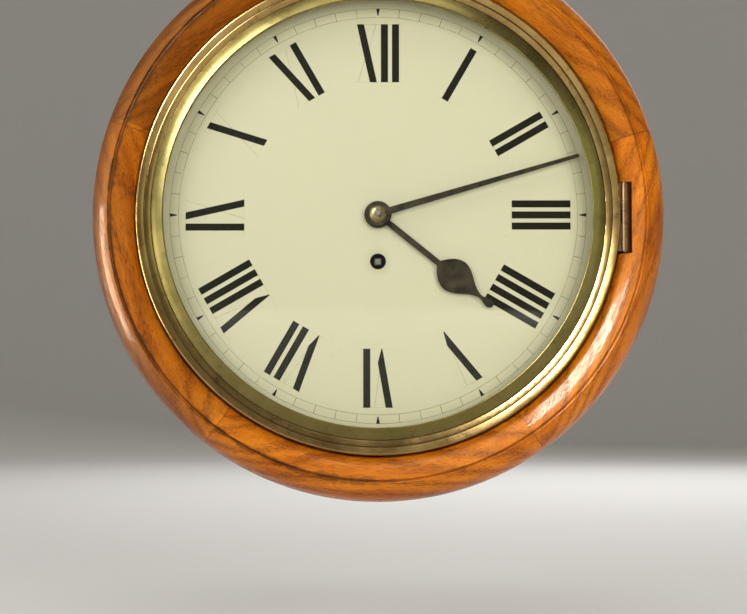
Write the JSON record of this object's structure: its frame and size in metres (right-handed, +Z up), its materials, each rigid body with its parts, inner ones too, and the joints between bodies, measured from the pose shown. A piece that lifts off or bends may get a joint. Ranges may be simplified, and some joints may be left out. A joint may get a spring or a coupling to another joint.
{
  "type": "round dial wall clock",
  "caption": "Spring-driven round dial wall clock in a turned oak surround with hinged glazed bezel, pendulum and case doors.",
  "frame": {"origin": "centre of the hanging hole, on the wall", "axes": "+Z up, +Y into the wall, so the dial faces -Y; +X is to the right of a viewer facing the dial"},
  "size_m": [0.381, 0.1469, 0.381],
  "materials": {
    "oak": "stained and varnished oak",
    "oak_inside": "plain oak, unstained",
    "peg_wood": "turned pegs",
    "dial_paint": "aged cream paint on iron",
    "bezel_brass": "aged lacquered brass",
    "brass": "dull brass",
    "plate_brass": "brushed movement plates",
    "hand_steel": "blackened steel",
    "steel": "cut and turned steel",
    "spring_steel": "tempered spring steel",
    "glass": "clear convex glass",
    "iron_screw": "dull steel screws"
  },
  "bodies": {
    "case": {"surround_felloes": "oak", "surround_battens": "oak_inside", "case_pegs": "peg_wood", "box_left_side": "oak", "box_right_side": "oak", "box_top": "oak", "box_bottom": "oak", "back_board": "oak_inside", "hanging_plate": "brass", "wood_screws": "iron_screw", "door_hinge_case_leaves": "brass", "dial_plate": "dial_paint", "dial_feet": "brass", "taper_pins": "steel", "bezel_hinge_pin": "steel", "case_hinge_leaf": "bezel_brass", "bezel_catch": "brass", "front_plate": "plate_brass", "back_plate": "plate_brass", "plate_pillars": "plate_brass", "click_spring": "spring_steel", "movement_screws": "iron_screw", "back_cock": "plate_brass"},
    "bezel": {"bezel_ring": "bezel_brass", "glass": "glass", "glass_retaining_ring": "brass", "bezel_hinge_leaf": "bezel_brass"},
    "side_door": {"side_door": "oak", "side_door_hinge_leaf": "brass"},
    "side_catch": {"side_door_turn_catch": "brass"},
    "bottom_door": {"bottom_door": "oak", "bottom_door_hinge_leaf": "brass"},
    "bottom_catch": {"bottom_door_turn_catch": "brass"},
    "minute_train": {"centre_arbor": "steel", "centre_wheel": "plate_brass", "cannon_pinion": "steel", "minute_hand": "hand_steel", "hand_collet": "brass"},
    "hour_train": {"hour_wheel": "plate_brass", "hour_hand": "hand_steel"},
    "minute_wheel": {"minute_wheel": "plate_brass"},
    "barrel": {"mainspring_barrel": "plate_brass", "barrel_cover": "plate_brass", "mainspring": "spring_steel"},
    "winding_arbor": {"winding_arbor": "steel", "ratchet_wheel": "steel"},
    "click": {"click": "steel"},
    "second_train": {"second_wheel": "plate_brass", "second_arbor": "steel"},
    "third_train": {"third_wheel": "plate_brass", "third_arbor": "steel"},
    "escape_train": {"escape_wheel": "plate_brass", "escape_arbor": "steel"},
    "pallets": {"pallets": "steel", "pallet_arbor": "steel", "crutch": "steel"},
    "pendulum": {"suspension_spring": "spring_steel", "pendulum_rod": "steel", "pendulum_bob": "brass", "rating_nut": "brass"}
  },
  "joints": [
    {"name": "bezel_hinge", "type": "hinge", "parent": "case", "child": "bezel", "pos_m": [0.1616, -0.1345, -0.137], "axis": [0, 0, 1], "range_deg": [0, 110]},
    {"name": "side_door_hinge", "type": "hinge", "parent": "case", "child": "side_door", "pos_m": [0.1319, -0.018, -0.1345], "axis": [0, 0, 1], "range_deg": [0, 90]},
    {"name": "side_catch_turn", "type": "hinge", "parent": "side_door", "child": "side_catch", "pos_m": [0.13, -0.074, -0.1345], "axis": [1, 0, 0], "range_deg": [0, 90]},
    {"name": "bottom_door_hinge", "type": "hinge", "parent": "case", "child": "bottom_door", "pos_m": [-0.05127, -0.051, -0.29478], "axis": [0, 1, 0], "range_deg": [0, 80]},
    {"name": "bottom_catch_turn", "type": "hinge", "parent": "bottom_door", "child": "bottom_catch", "pos_m": [0.03689, -0.051, -0.2968], "axis": [-0.225, 0, 0.9744], "range_deg": [0, 90]},
    {"name": "minute_hand_turn", "type": "hinge", "parent": "case", "child": "minute_train", "pos_m": [0, -0.0935, -0.137], "axis": [0, 1, 0], "continuous": true},
    {"name": "hour_hand_turn", "type": "hinge", "parent": "case", "child": "hour_train", "pos_m": [0, -0.104, -0.137], "axis": [0, 1, 0], "continuous": true},
    {"name": "minute_wheel_turn", "type": "hinge", "parent": "case", "child": "minute_wheel", "pos_m": [-0.01299, -0.1, -0.1295], "axis": [0, 1, 0], "continuous": true},
    {"name": "barrel_turn", "type": "hinge", "parent": "case", "child": "barrel", "pos_m": [0, -0.09, -0.168], "axis": [0, 1, 0], "continuous": true},
    {"name": "winding_turn", "type": "hinge", "parent": "case", "child": "winding_arbor", "pos_m": [0, -0.096, -0.168], "axis": [0, 1, 0], "continuous": true},
    {"name": "click_lift", "type": "hinge", "parent": "case", "child": "click", "pos_m": [0.014, -0.097, -0.1682], "axis": [0, -1, 0], "range_deg": [0, 12], "stiffness_Nm_per_rad": 0.002, "deforming": ["click_spring"]},
    {"name": "second_wheel_turn", "type": "hinge", "parent": "case", "child": "second_train", "pos_m": [0.02163, -0.057, -0.1451], "axis": [0, 1, 0], "continuous": true},
    {"name": "third_wheel_turn", "type": "hinge", "parent": "case", "child": "third_train", "pos_m": [-0.01478, -0.073, -0.12071], "axis": [0, 1, 0], "continuous": true},
    {"name": "escape_wheel_turn", "type": "hinge", "parent": "case", "child": "escape_train", "pos_m": [0, -0.082, -0.107], "axis": [0, 1, 0], "continuous": true},
    {"name": "pendulum_swing", "type": "hinge", "parent": "case", "child": "pendulum", "pos_m": [0, -0.024, -0.08776], "axis": [0, 1, 0], "range_deg": [-2, 2]},
    {"name": "pallets_rock", "type": "hinge", "parent": "case", "child": "pallets", "pos_m": [0, -0.082, -0.08776], "axis": [0, 1, 0], "range_deg": [-2, 2]}
  ],
  "couplings": [
    {"joint": "hour_hand_turn", "follows": "minute_hand_turn", "ratio": 0.083333},
    {"joint": "minute_wheel_turn", "follows": "minute_hand_turn", "ratio": -0.33333},
    {"joint": "barrel_turn", "follows": "minute_hand_turn", "ratio": 0.027778},
    {"joint": "second_wheel_turn", "follows": "minute_hand_turn", "ratio": -0.16667},
    {"joint": "third_wheel_turn", "follows": "minute_hand_turn", "ratio": -10},
    {"joint": "escape_wheel_turn", "follows": "minute_hand_turn", "ratio": 110},
    {"joint": "pallets_rock", "follows": "pendulum_swing", "ratio": 1}
  ]
}
